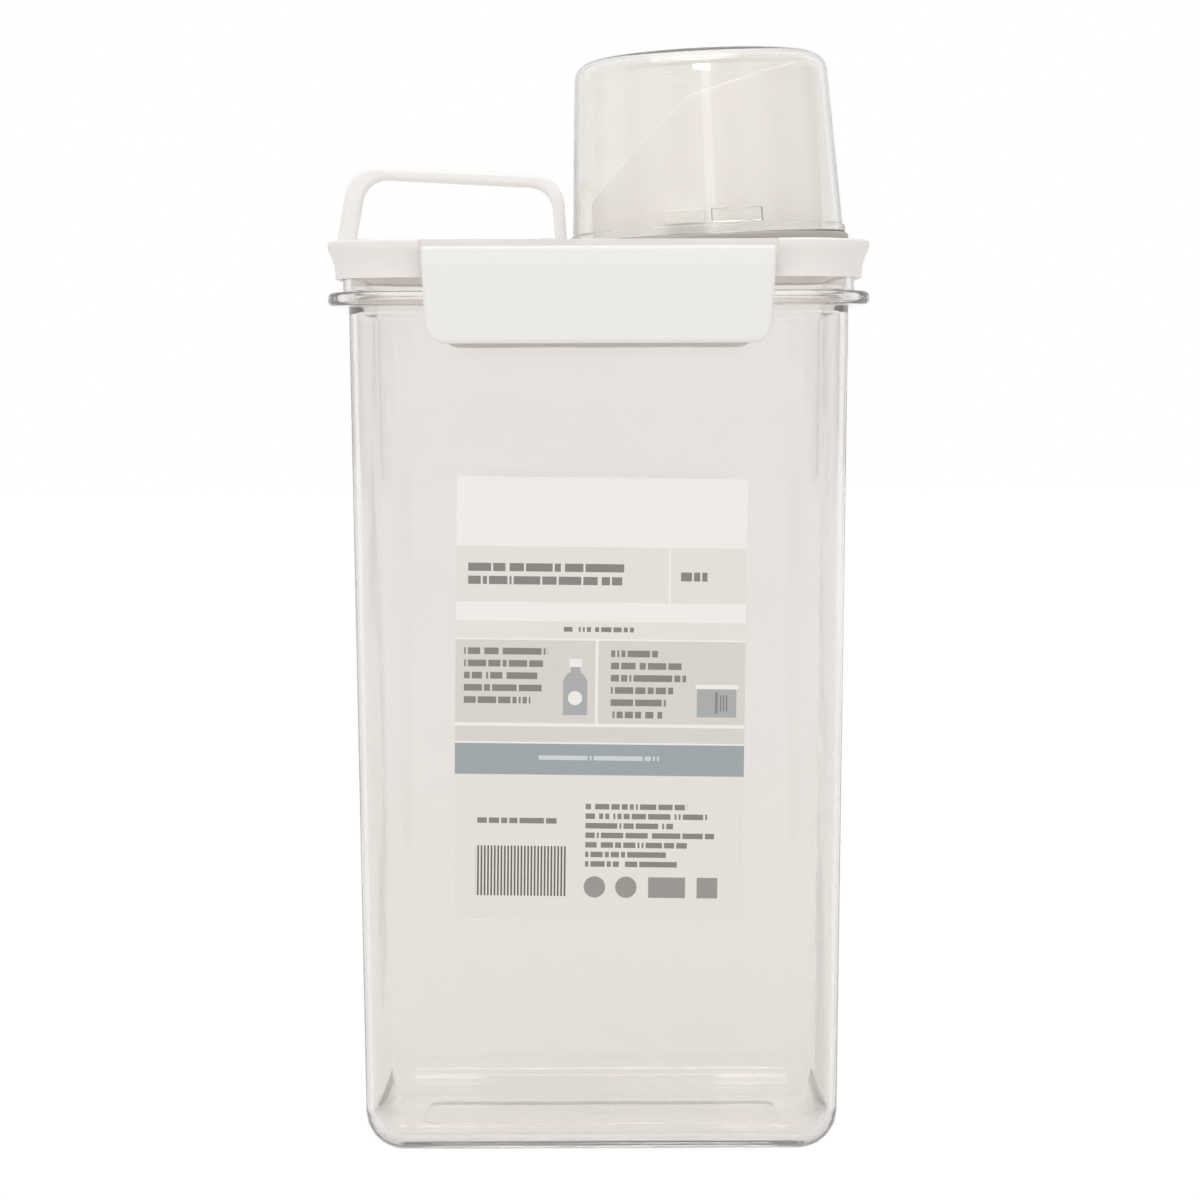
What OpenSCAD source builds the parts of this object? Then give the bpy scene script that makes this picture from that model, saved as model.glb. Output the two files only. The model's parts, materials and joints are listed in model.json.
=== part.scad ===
// Laundry detergent dispenser: clear tub, clipped lid with a bail handle,
// pouring spout and a measuring cup that closes it upside down.
// Frame: +X to the cup's side, front is -Y, +Z up, origin under the middle of the base.

/* [Container] */
// Width over the walls just under the flange
body_w = 135.2; // [120:0.1:170]
// Depth over the walls just under the flange
body_d = 83.2; // [76:0.1:110]
// Height of the open rim above the base
rim_z = 241.4; // [200:0.1:300]
// Thickness of the walls
wall = 2; // [1.2:0.1:3]
// Thickness of the base
base_t = 3.2; // [2.4:0.1:5]
// How far each wall leans in from the flange down to the base
draft_in = 3.1; // [0:0.1:5]
// Radius of the upright corners under the flange
corner_r = 14; // [11:0.5:18]
// Radius of the rounded edge round the base
base_edge_r = 10.5; // [4:0.5:11]
// Width of the shallow recess under the base
foot_w = 99; // [60:1:104]
// Depth, front to back, of the recess under the base
foot_d = 38; // [20:1:50]
// How deep the recess goes up into the base
foot_recess = 1; // [0.5:0.1:1.4]
// Diameter of the round moulding mark in the recess
gate_d = 8; // [4:0.5:12]
// How far the flange stands out from the walls
flange_out = 5.6; // [4.5:0.1:7]
// Thickness of the flange
flange_t = 3.6; // [2.4:0.1:5]
// Height of the neck from the flange up to the rim
neck_h = 7.1; // [5.5:0.1:9]
// How far the neck stands out from the walls
neck_out = 1.5; // [0.8:0.1:2]

/* [Label] */
// Width of the sticker on the front
label_w = 77.9; // [40:0.1:100]
// Height of the sticker
label_h = 119.4; // [60:0.1:150]
// Thickness of the sticker
label_t = 0.2; // [0.1:0.05:0.4]
// Height of the sticker's middle above the base
label_mid_z = 124.8; // [90:0.1:150]
// How far the sticker was stuck on turned, in degrees
label_turn = 0.85; // [-2:0.05:2]

/* [Lid] */
// Clearance between the neck and the lid's skirt
skirt_clear = 0.4; // [0.2:0.05:0.8]
// Thickness of the skirt
skirt_t = 1.6; // [1.2:0.1:2]
// Open height left between the flange and the skirt
skirt_gap = 3.6; // [1:0.1:4.4]
// Thickness of the lid's floor
floor_t = 2; // [1.6:0.1:3]
// Height of the raised edge above the lid's floor
edge_h = 2.6; // [2:0.1:4]
// Thickness of the raised edge
edge_t = 2.4; // [1.6:0.1:3]
// How far the skirt flares out up to the raised edge
flare_out = 2.1; // [1:0.1:3]
// Thickness of the locating wall inside the neck
plug_t = 1.4; // [1:0.1:2]
// Clearance between the neck and the locating wall
plug_clear = 0.4; // [0.2:0.05:0.8]
// Height of the locating wall under the lid's floor
plug_h = 5; // [3:0.1:8]
// Thickness of the seal between the rim and the lid
lid_seal_t = 2; // [1.2:0.1:3]
// Clearance between the lid's seal and the locating wall
lid_seal_clear = 0.2; // [0.1:0.05:0.4]

/* [Clips] */
// Width of a clip at its top
clip_w = 94.4; // [80:0.1:100]
// How much each side of a clip narrows down to its bottom
clip_narrowing = 1.5; // [0:0.1:4]
// Thickness of a clip
clip_t = 2.3; // [1.8:0.1:3]
// Gap between the flange and a clip
clip_gap = 0.5; // [0.3:0.05:0.8]
// How far a clip's top lies below the top of the lid
clip_drop = 2; // [0.9:0.1:2.4]
// Radius of a clip's bottom corners
clip_corner_r = 5; // [1.5:0.5:8]
// Height of the pulling lip below the hook
pull_lip_h = 6.5; // [5:0.1:12]
// Height of the hook that grips the flange
hook_t = 3.6; // [2.5:0.1:5]
// How far the hook reaches under the flange
hook_reach = 3.6; // [2:0.1:4]
// Clearance between the hook and the flange
hook_clear = 0.3; // [0.2:0.05:0.5]
// Radius of the hinge bars on the lid
hinge_bar_r = 1; // [0.8:0.05:1.2]
// Radius of the hinge eyes on a clip
hinge_eye_r = 1.9; // [1.8:0.05:2.2]
// Length of each hinge eye
hinge_eye_w = 10; // [6:0.5:14]
// Distance between the hinge eyes
hinge_pitch = 32; // [22:0.5:36]

/* [Handle] */
// Width of the handle's strap, front to back
strap_w = 8; // [5:0.1:8.4]
// Thickness of the strap along the top
strap_t = 3.5; // [2.5:0.1:5]
// Thickness of the leg at the lid's end
end_leg_t = 5.1; // [4:0.1:7]
// Thickness of the leg beside the cup
cup_leg_t = 3.2; // [3:0.1:5]
// Height of the handle's top above its pivots
handle_h = 22.1; // [18:0.1:27]
// How much lower the top is beside the cup
handle_fall = 2.8; // [0:0.1:4]
// How far the end leg leans in from its foot to its top
end_leg_lean = 4; // [0:0.1:5]
// How far the leg beside the cup leans in from its foot to its top
cup_leg_lean = 1.3; // [0:0.1:3]
// Outer radius of the handle's corner at the lid's end
end_corner_r = 8.5; // [5:0.5:9.5]
// Outer radius of the handle's corner beside the cup
cup_corner_r = 8.5; // [5:0.5:10]
// Radius of the handle's pivot pins
pin_r = 1.2; // [0.9:0.05:1.4]
// Length of the handle's pivot pins
pin_l = 3.4; // [2:0.1:5]
// Height of the pivots above the lid's floor
pivot_h = 2.7; // [2.5:0.05:3.5]
// Radius of the handle's feet and of the lugs that hold them
foot_r = 2.1; // [1.9:0.05:2.3]
// Gap between the handle's foot and its lug, or the cup's seal
foot_gap = 0.4; // [0.2:0.05:0.8]

/* [Spout] */
// Outer radius of the spout
spout_r = 32; // [24:0.1:33]
// Thickness of the spout's wall
spout_t = 1.6; // [1.2:0.1:2.5]
// Height of the spout's highest edge above its seat
spout_h = 47.4; // [36:0.1:60]
// Height of the spout's lowest edge above its seat
spout_low_h = 12.5; // [9:0.1:20]
// How far the slanted cut's knee lies below the highest edge
knee_drop = 8.5; // [2:0.1:12]
// Where the knee of the cut lies, from the spout's axis
knee_x = -5.4; // [-15:0.1:8]
// Where the cut reaches its full height, from the spout's axis
crest_x = 23.5; // [10:0.1:28]
// Lean of the spout and the cup towards the handle, in degrees
seat_tilt = 2.5; // [0:0.1:3]
// Height of the spout's seat above the lid's floor, at its middle
seat_h = 2.4; // [2.2:0.05:8]
// Width of the ledge that the spout rests on
spout_ledge = 2.6; // [1.5:0.1:2.8]
// Thickness of the spout's ledge
ledge_t = 1.2; // [0.8:0.1:1.6]
// Clearance between the spout and the hole in the lid
spout_clear = 0.3; // [0.1:0.05:0.5]
// Length of the spout below the lid's floor
spout_tail = 2; // [1.5:0.1:6]

/* [Measuring cup] */
// Space between the spout and the cup at the cup's mouth
cup_space = 3.9; // [3.4:0.1:5]
// Thickness of the cup's wall
cup_wall = 1.8; // [1.2:0.1:2.5]
// How far the cup's wall leans in up to its closed end
cup_draft = 2.8; // [0:0.1:3]
// Clearance between the spout's highest edge and the cup
cup_head_clear = 2.8; // [0.6:0.1:5]
// Radius of the cup's rounded shoulder
cup_shoulder_r = 5.2; // [2:0.1:8]
// How far the cup's lip stands out
lip_out = 0.6; // [0.3:0.1:1.5]
// Height of the cup's lip
lip_h = 2.2; // [1.2:0.1:4]
// Turn of the first lug from the front to the right, in degrees
lug_turn = 11; // [0:1:40]
// Width of each lug inside the cup, in degrees round its axis
lug_angle = 24; // [10:1:40]
// Height of the lugs and of the spout's stops
lug_h = 3.8; // [2:0.1:4]
// Height of a lug's middle above the cup's lip
lug_mid_h = 4.8; // [4.2:0.1:6]
// How far the lugs stand in from the cup's wall
lug_in = 1.5; // [0.8:0.1:2]
// Gap between a lug and the stop beside it, in degrees round the axis
stop_gap = 2; // [1:0.5:8]
// Width of each stop on the spout, in degrees round its axis
stop_angle = 18; // [6:1:24]
// Number of measuring marks on the cup's back
mark_count = 4; // [0:1:6]
// Distance between the measuring marks
mark_pitch = 8; // [4:0.5:8]
// Width of a measuring mark, in degrees round the cup's axis
mark_angle = 16; // [6:1:40]

/* [Cup seal] */
// Thickness of the ring under the cup
cup_seal_t = 1.8; // [1.4:0.1:3]
// How far the ring stands out past the cup's lip
cup_seal_out = 0.7; // [0:0.1:1]
// Gap between the cup at rest and the ring
cup_seal_gap = 0.1; // [0.05:0.05:0.3]
// Clearance between the ring and the spout's ledge
cup_seal_clear = 0.3; // [0.1:0.05:0.6]

/* [Hidden] */
$fn = 96;

// Steps in each rounded corner of an outline
arc_steps = 8;
// Overlap that fuses two shapes of one solid
fuse = 0.5;
// Radial clearance of every pin in its eye
pin_clear = 0.06;
// Small rounding on moulded edges
edge_r = 0.5;
// Reach of the cuts that run out past the lid
clear_l = 20;

// Corner axes that every rounded rectangle is drawn around
axis_x = body_w / 2 - corner_r;
axis_y = body_d / 2 - corner_r;

// Heights up the container
flange_top_z = rim_z - neck_h;
flange_z = flange_top_z - flange_t;
lean = draft_in / flange_z;
lean_angle = atan(lean);
base_r = min(base_edge_r, corner_r - draft_in - 0.2);

// Distances from the corner axes
neck_off = corner_r + neck_out;
flange_off = corner_r + flange_out;
skirt_in_off = neck_off + skirt_clear;
skirt_off = skirt_in_off + skirt_t;
edge_off = skirt_off + flare_out;
tray_off = edge_off - edge_t;
plug_off = neck_off - wall - plug_clear;

// Heights up the lid
skirt_z = flange_top_z + skirt_gap;
under_z = rim_z + lid_seal_t;
floor_z = under_z + floor_t;
lid_top_z = floor_z + edge_h;
flare_top_z = floor_z + 0.4;

// Clips and their hinges, as distances from the middle plane
clip_in_y = axis_y + flange_off + clip_gap;
clip_out_y = clip_in_y + clip_t;
clip_top_z = lid_top_z - clip_drop;
hinge_y = clip_in_y - hinge_bar_r - 0.3;
hinge_z = clip_top_z - hinge_eye_r;
hook_top_z = flange_z - hook_clear;
hook_z = hook_top_z - hook_t;
clip_z = hook_z - pull_lip_h;
clip_side_gap = 0.5;
pocket_gap = 0.4;
notch_y = hinge_y - hinge_eye_r - pocket_gap - 0.1;
notch_z = min(floor_z, hinge_z + 0.6);

// Frame of the spout, the cup and its seal
lip_r = spout_r + cup_space + cup_wall + lip_out;
cup_seal_r = lip_r + cup_seal_out;
collar_r = cup_seal_r - 0.5;
collar_gap = 1.7;
seat_x = axis_x + tray_off - collar_gap - collar_r;
seat_z = floor_z + seat_h;
ledge_r = spout_r + spout_ledge;
cup_z = cup_seal_t + cup_seal_gap;
cup_end_z = spout_h + cup_head_clear + cup_wall;
cup_r = lip_r - lip_out;
cup_end_r = cup_r - cup_draft;
stop_mid_z = cup_z + lug_mid_h;
stop_r = cup_r - cup_wall - 1;
stop_turn = lug_turn - (lug_angle + stop_angle) / 2 - stop_gap;

// Handle: places of its legs along X, measured at the pivots
pivot_z = floor_z + pivot_h;
end_x = -(axis_x + edge_off) + 0.3;
end_in_x = end_x + end_leg_t;
cup_leg_x = seat_x - cup_seal_r - foot_gap + 0.1;
cup_leg_in_x = cup_leg_x - cup_leg_t;
lug_t = pin_l;
relief_y = handle_h + strap_w / 2 + 1;

function unit(v) = v / norm(v);

// Points of a rounded corner at b, between its neighbours a and c
function corner_points(a, b, c, r) =
    r == 0 ? [b] :
    let (u = unit(a - b),
         v = unit(c - b),
         half = acos(u * v) / 2,
         centre = b + unit(u + v) * r / sin(half),
         from = b + u * r / tan(half) - centre,
         to = b + v * r / tan(half) - centre,
         start = atan2(from.y, from.x),
         turn = (atan2(to.y, to.x) - start + 540) % 360 - 180)
    [for (i = [0 : arc_steps])
        centre + r * [cos(start + turn * i / arc_steps), sin(start + turn * i / arc_steps)]];

// Closed outline through corners given as [x, y, radius]
function rounded(corners) =
    let (n = len(corners))
    [for (i = [0 : n - 1])
        let (a = corners[(i + n - 1) % n], b = corners[i], c = corners[(i + 1) % n])
        each corner_points([a.x, a.y], [b.x, b.y], [c.x, c.y], b[2])];

// Distance of the outer wall from the corner axes at height z
function wall_off(z) = corner_r - (flange_z - z) * lean;

// Sweeps a profile, drawn as distance from the corner axis and height,
// round the four corners and the four straight sides
module around() {
    for (side = [0 : 3]) {
        x = side % 2 == 0 ? axis_x : axis_y;
        y = side % 2 == 0 ? axis_y : axis_x;
        rotate(90 * side) translate([x, y, 0]) {
            rotate_extrude(angle = 90) children();
            rotate([90, 0, 0]) linear_extrude(2 * y) children();
        }
    }
}

// Flat plate between the corner axes
module middle_plate(z, t) {
    translate([-axis_x, -axis_y, z]) cube([2 * axis_x, 2 * axis_y, t]);
}

// Extrudes a profile of Y and Z along X, centred
module along_x(length) {
    translate([-length / 2, 0, 0]) rotate([90, 0, 90]) linear_extrude(length) children();
}

// Extrudes an outline of X and Z along Y, centred
module along_y(length) {
    rotate([90, 0, 0]) linear_extrude(length, center = true) children();
}

// Round bar along X from one X to another
module bar_x(x0, x1, r) {
    translate([x0, 0, 0]) rotate([0, 90, 0]) cylinder(r = r, h = x1 - x0);
}

// Leaning frame of the spout's seat
module on_seat() {
    translate([seat_x, 0, seat_z]) rotate([0, -seat_tilt, 0]) children();
}

// Part of a ring, centred on an angle that is measured from the front to the right
module ring_part(r_in, r_out, z, h, middle, spread) {
    rotate(middle - spread / 2 - 90) rotate_extrude(angle = spread)
        translate([r_in, z]) square([r_out - r_in, h]);
}

module container_profile() {
    inner_r = max(base_r - wall, 1);
    base_x = wall_off(base_r) - base_r;
    inner_x = wall_off(base_r) - wall - inner_r;
    polygon(concat(
        [[0, 0]],
        [for (i = [0 : arc_steps])
            let (a = 90 * i / arc_steps) [base_x + base_r * sin(a), base_r * (1 - cos(a))]],
        [[corner_r, flange_z],
         [flange_off - edge_r, flange_z],
         [flange_off, flange_z + edge_r],
         [flange_off, flange_top_z - edge_r],
         [flange_off - edge_r, flange_top_z],
         [neck_off, flange_top_z],
         [neck_off, rim_z],
         [neck_off - wall, rim_z],
         [neck_off - wall, flange_z + 1],
         [corner_r - wall, flange_z - wall]],
        [for (i = [0 : arc_steps])
            let (a = 90 * (1 - i / arc_steps))
            [inner_x + inner_r * sin(a), base_t + inner_r * (1 - cos(a))]],
        [[0, base_t]]
    ));
}

module foot_recess_cut() {
    r = 4;
    x = foot_w / 2 - r;
    y = foot_d / 2 - r;
    translate([0, 0, -1]) {
        for (sx = [-1, 1], sy = [-1, 1])
            translate([sx * x, sy * y, 0]) cylinder(r = r, h = 1 + foot_recess);
        translate([-foot_w / 2, -y, 0]) cube([foot_w, 2 * y, 1 + foot_recess]);
        translate([-x, -foot_d / 2, 0]) cube([2 * x, foot_d, 1 + foot_recess]);
        cylinder(d = gate_d, h = 1 + foot_recess + 0.3);
    }
}

module container() {
    color([0.89, 0.87, 0.85, 0.35]) difference() {
        union() {
            around() container_profile();
            middle_plate(0, base_t);
        }
        foot_recess_cut();
    }
}

module label() {
    gap = 0.02;
    y = axis_y + wall_off(label_mid_z) + gap + label_t / 2;
    w = label_w / 2;
    h = label_h / 2;
    color([0.93, 0.92, 0.91]) translate([0, -y, label_mid_z])
        rotate([lean_angle, 0, 0]) rotate([0, label_turn, 0]) along_y(label_t)
            polygon(rounded([[-w, -h, 1], [w, -h, 1], [w, h, 1], [-w, h, 1]]));
}

// How far the skirt has flared out at a share t of its height
function flare(t) = flare_out * pow(t, 2.2);

module lid_profile() {
    steps = 7;
    polygon(concat(
        [[0, under_z], [plug_off - plug_t, under_z],
         [plug_off - plug_t, under_z - plug_h], [plug_off, under_z - plug_h],
         [plug_off, under_z], [skirt_in_off, under_z], [skirt_in_off, skirt_z]],
        [for (i = [0 : steps])
            let (t = i / steps)
            [skirt_off + flare(t), skirt_z + (flare_top_z - skirt_z) * t]],
        [[edge_off, lid_top_z - edge_r], [edge_off - edge_r, lid_top_z],
         [tray_off, lid_top_z], [tray_off, floor_z], [0, floor_z]]
    ));
}

// Step in the lid's edge and the pockets behind a clip's hinge eyes
module clip_notch() {
    half_w = clip_w / 2 + clip_side_gap;
    translate([-half_w, notch_y, notch_z]) cube([2 * half_w, clear_l, clear_l]);
    pocket_w = hinge_eye_w / 2 + clip_side_gap;
    for (x = [-hinge_pitch, 0, hinge_pitch]) translate([x, hinge_y, hinge_z])
        bar_x(-pocket_w, pocket_w, hinge_eye_r + pocket_gap);
}

// Raised edge that runs behind a clip and turns out to the lid's edge beside it
module notch_wall() {
    half_w = clip_w / 2 + clip_side_gap;
    end_w = half_w + edge_t;
    h = edge_h + fuse;
    translate([-end_w, notch_y - edge_t, floor_z - fuse]) cube([2 * end_w, edge_t, h]);
    for (x = [-end_w, half_w]) translate([x, notch_y - edge_t, floor_z - fuse])
        cube([edge_t, axis_y + tray_off + fuse - notch_y + edge_t, h]);
}

module hinge_bars() {
    reach = hinge_eye_w / 2 + clip_side_gap + 2;
    for (x = [-hinge_pitch, 0, hinge_pitch]) translate([x, hinge_y, hinge_z])
        bar_x(-reach, reach, hinge_bar_r);
}

// Lug with a bore for one of the handle's pins
module handle_lug(x0) {
    translate([0, 0, pivot_z]) difference() {
        union() {
            bar_x(x0, x0 + lug_t, foot_r);
            translate([x0, -foot_r, -pivot_h - fuse]) cube([lug_t, 2 * foot_r, pivot_h + fuse]);
        }
        bar_x(x0 - 1, x0 + lug_t + 1, pin_r + pin_clear);
    }
}

// Leaning collar that carries the spout and the cup's seal
module collar() {
    deep = seat_h + floor_t + 2;
    cut_w = 4 * collar_r;
    difference() {
        on_seat() translate([0, 0, -deep]) cylinder(r = collar_r, h = deep);
        translate([seat_x - cut_w / 2, -cut_w / 2, floor_z - fuse - 2 * deep])
            cube([cut_w, cut_w, 2 * deep]);
    }
}

module lid() {
    color([0.91, 0.9, 0.89]) difference() {
        union() {
            difference() {
                union() {
                    around() lid_profile();
                    middle_plate(under_z, floor_t);
                }
                for (turn = [0, 180]) rotate(turn) clip_notch();
                translate([end_x - clear_l, -relief_y, floor_z])
                    cube([clear_l + end_leg_t - 1, 2 * relief_y, clear_l]);
            }
            for (turn = [0, 180]) rotate(turn) {
                hinge_bars();
                notch_wall();
            }
            handle_lug(end_in_x + foot_gap);
            handle_lug(cup_leg_in_x - foot_gap - lug_t);
            collar();
        }
        on_seat() translate([0, 0, -clear_l])
            cylinder(r = spout_r + spout_clear, h = 2 * clear_l);
    }
}

module lid_seal() {
    inner = plug_off + lid_seal_clear;
    color([0.75, 0.75, 0.74]) around()
        translate([inner, rim_z]) square([neck_off - inner, lid_seal_t]);
}

module clip_section() {
    tip_y = axis_y + flange_off - hook_reach;
    crease_z = clip_top_z - 4.8;
    polygon(rounded([
        [clip_in_y, clip_z, 0.7],
        [clip_out_y, clip_z, 1.4],
        [clip_out_y, crease_z, 4],
        [clip_out_y - 0.5, clip_top_z, 1.4],
        [clip_in_y, clip_top_z, 0.3],
        [clip_in_y, hook_top_z, 0],
        [tip_y, hook_top_z, 0.4],
        [tip_y, hook_top_z - hook_t / 2, 0.4],
        [clip_in_y, hook_z, 0]
    ]));
}

module clip_outline() {
    top = clip_w / 2;
    bottom = top - clip_narrowing;
    polygon(rounded([
        [-top, clip_top_z, 1.2],
        [top, clip_top_z, 1.2],
        [bottom, clip_z, clip_corner_r],
        [-bottom, clip_z, clip_corner_r]
    ]));
}

// Clip as it sits at the back, its outer face towards +Y
module clip() {
    eye_w = hinge_eye_w;
    color([0.92, 0.91, 0.9]) difference() {
        union() {
            intersection() {
                along_x(clip_w + 2) clip_section();
                along_y(4 * clip_out_y) clip_outline();
            }
            for (x = [-hinge_pitch, 0, hinge_pitch]) translate([x, 0, hinge_z]) {
                translate([0, hinge_y, 0]) bar_x(-eye_w / 2, eye_w / 2, hinge_eye_r);
                translate([-eye_w / 2, hinge_y, -hinge_eye_r])
                    cube([eye_w, clip_in_y - hinge_y + fuse, 2 * hinge_eye_r]);
            }
        }
        for (x = [-hinge_pitch, 0, hinge_pitch]) translate([x, hinge_y, hinge_z])
            bar_x(-eye_w / 2 - 1, eye_w / 2 + 1, hinge_bar_r + pin_clear);
    }
}

module front_clip() rotate(180) clip();

module rear_clip() clip();

// Bail seen from the front, with its pivots at height 0
module handle_outline() {
    top_in = handle_h - strap_t;
    end_top = end_x + end_leg_lean;
    cup_top = cup_leg_x - cup_leg_lean;
    polygon(rounded([
        [end_x, 0, 0],
        [end_top, handle_h, end_corner_r],
        [cup_top, handle_h - handle_fall, cup_corner_r],
        [cup_leg_x, 0, 0],
        [cup_leg_in_x, 0, 0],
        [cup_top - cup_leg_t, top_in - handle_fall, cup_corner_r - 2.2],
        [end_top + end_leg_t - 0.7, top_in, end_corner_r - 2],
        [end_in_x, 0, 0]
    ]));
}

// Bail seen from its end: the strap narrows to the pivots
module handle_side() {
    w = strap_w / 2;
    taper_h = 12;
    polygon([
        [-foot_r, 0], [foot_r, 0], [w, taper_h], [w, handle_h + 1],
        [-w, handle_h + 1], [-w, taper_h]
    ]);
}

module handle() {
    color([0.93, 0.92, 0.91]) translate([0, 0, pivot_z]) {
        intersection() {
            along_y(strap_w + 2) handle_outline();
            along_x(4 * axis_x) handle_side();
        }
        bar_x(end_x, end_in_x, foot_r);
        bar_x(cup_leg_in_x, cup_leg_x, foot_r);
        bar_x(end_in_x - fuse, end_in_x + foot_gap + pin_l, pin_r);
        bar_x(cup_leg_in_x - foot_gap - pin_l, cup_leg_in_x + fuse, pin_r);
    }
}

// Everything above the slanted pouring edge, in the seat's frame
module pouring_cut() {
    far = 2 * spout_r;
    low_x = -spout_r;
    knee_h = spout_h - knee_drop;
    slope = (knee_h - spout_low_h) / (knee_x - low_x);
    along_y(far) polygon([
        [-far, spout_low_h - slope * (far + low_x)], [low_x, spout_low_h], [knee_x, knee_h],
        [crest_x, spout_h], [far, spout_h], [far, 2 * spout_h], [-far, 2 * spout_h]
    ]);
}

module spout() {
    tail_z = -(seat_h + floor_t + spout_tail);
    bore = spout_r - spout_t;
    color([0.95, 0.95, 0.94]) on_seat() {
        difference() {
            union() {
                translate([0, 0, tail_z]) cylinder(r = spout_r, h = spout_h - tail_z);
                cylinder(r = ledge_r, h = ledge_t);
            }
            translate([0, 0, tail_z - 1]) cylinder(r = bore, h = spout_h - tail_z + 2);
            pouring_cut();
        }
        for (turn = [0, 180])
            ring_part(bore + 0.4, stop_r, stop_mid_z - lug_h / 2, lug_h,
                      turn + stop_turn, stop_angle);
    }
}

module cup_seal() {
    inner = ledge_r + cup_seal_clear;
    color([0.68, 0.68, 0.68]) on_seat() difference() {
        cylinder(r = cup_seal_r, h = cup_seal_t);
        translate([0, 0, -1]) cylinder(r = inner, h = cup_seal_t + 2);
    }
}

// Half section of the cup, standing on its lip, with its closed end up
module cup_profile() {
    inner_shoulder = max(cup_shoulder_r - cup_wall, 0.5);
    polygon(concat(
        [[cup_r - cup_wall, cup_z], [lip_r - edge_r, cup_z], [lip_r, cup_z + edge_r],
         [lip_r, cup_z + lip_h - edge_r], [lip_r - edge_r, cup_z + lip_h],
         [cup_r, cup_z + lip_h + 0.3]],
        corner_points([cup_r, cup_z], [cup_end_r, cup_end_z], [0, cup_end_z], cup_shoulder_r),
        [[0, cup_end_z], [0, cup_end_z - cup_wall]],
        corner_points([0, cup_end_z - cup_wall],
                      [cup_end_r - cup_wall, cup_end_z - cup_wall],
                      [cup_r - cup_wall, cup_z], inner_shoulder)
    ));
}

// Outer radius of the cup's wall at a height in the seat's frame
function cup_r_at(z) = cup_r - cup_draft * (z - cup_z) / (cup_end_z - cup_z);

module measuring_cup() {
    lug_z = stop_mid_z - lug_h / 2;
    lug_out_r = cup_r - cup_wall + 0.6;
    first_mark_z = cup_end_z - cup_shoulder_r - 6;
    color([0.9, 0.9, 0.88, 0.3]) on_seat() {
        rotate_extrude() cup_profile();
        for (turn = [0, 180])
            ring_part(cup_r - cup_wall - lug_in, lug_out_r, lug_z, lug_h,
                      turn + lug_turn, lug_angle);
        if (mark_count > 0) for (i = [0 : mark_count - 1]) {
            z = first_mark_z - i * mark_pitch;
            ring_part(cup_r_at(z) - 0.8, cup_r_at(z) + 0.35, z, 0.7, 180, mark_angle);
        }
    }
}

container();
label();
lid();
lid_seal();
front_clip();
rear_clip();
handle();
spout();
cup_seal();
measuring_cup();
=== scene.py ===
import json
import math

import bmesh
import bpy
from mathutils import Matrix, Vector

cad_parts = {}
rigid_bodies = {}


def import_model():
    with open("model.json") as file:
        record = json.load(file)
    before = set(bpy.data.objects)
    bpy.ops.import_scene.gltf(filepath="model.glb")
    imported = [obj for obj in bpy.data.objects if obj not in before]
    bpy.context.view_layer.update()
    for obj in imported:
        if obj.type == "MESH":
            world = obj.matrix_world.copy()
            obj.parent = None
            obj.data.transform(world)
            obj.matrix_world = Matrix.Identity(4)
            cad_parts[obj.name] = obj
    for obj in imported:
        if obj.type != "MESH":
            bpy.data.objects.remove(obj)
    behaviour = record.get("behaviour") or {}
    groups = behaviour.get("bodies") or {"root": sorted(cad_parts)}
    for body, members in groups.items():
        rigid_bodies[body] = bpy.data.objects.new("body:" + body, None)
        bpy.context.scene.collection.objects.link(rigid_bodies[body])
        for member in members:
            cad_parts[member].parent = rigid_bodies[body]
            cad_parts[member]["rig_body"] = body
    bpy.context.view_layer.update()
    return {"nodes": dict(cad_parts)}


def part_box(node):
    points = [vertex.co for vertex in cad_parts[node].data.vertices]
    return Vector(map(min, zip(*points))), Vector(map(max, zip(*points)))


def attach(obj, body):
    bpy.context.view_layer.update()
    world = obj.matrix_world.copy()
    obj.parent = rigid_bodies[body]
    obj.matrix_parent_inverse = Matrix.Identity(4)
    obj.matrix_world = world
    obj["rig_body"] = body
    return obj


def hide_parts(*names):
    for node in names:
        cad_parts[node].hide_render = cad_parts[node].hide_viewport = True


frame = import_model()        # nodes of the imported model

# Laundry detergent dispenser: clear tub with a printed sticker, clipped white lid,
# bail handle, pouring spout and a clear measuring cup over it.
# Lengths are in metres. +X is the cup's side, the front is -Y and +Z is up.

MM = 0.001
TAU = 2 * math.pi

# Container
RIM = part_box("container")[1]
CORNER_R = 14 * MM
WALL = 2 * MM
BASE_T = 3.2 * MM
BASE_EDGE_R = 10.5 * MM
FLANGE_OFF = CORNER_R + 5.6 * MM
NECK_OFF = CORNER_R + 1.5 * MM
AXIS_X = RIM.x - FLANGE_OFF
AXIS_Y = RIM.y - FLANGE_OFF
FLANGE_TOP_Z = RIM.z - 7.1 * MM
FLANGE_Z = FLANGE_TOP_Z - 3.6 * MM
LEAN = 3.1 * MM / FLANGE_Z
FOOT_W = 99 * MM
FOOT_D = 38 * MM
FOOT_CORNER_R = 4 * MM
FOOT_RECESS = 1 * MM
GATE_R = 4 * MM
GATE_H = 0.3 * MM
FOOT_EDGE_W = 0.35 * MM

# Sticker
LABEL_W = 77.9 * MM
LABEL_H = 119.4 * MM
LABEL_T = 0.2 * MM
LABEL_CORNER_R = 1 * MM
LABEL_MID_Z = 124.8 * MM
LABEL_TURN = math.radians(0.85)
LABEL_GAP = 0.02 * MM

# Lid
LID_EDGE_W = 0.35 * MM

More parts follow.
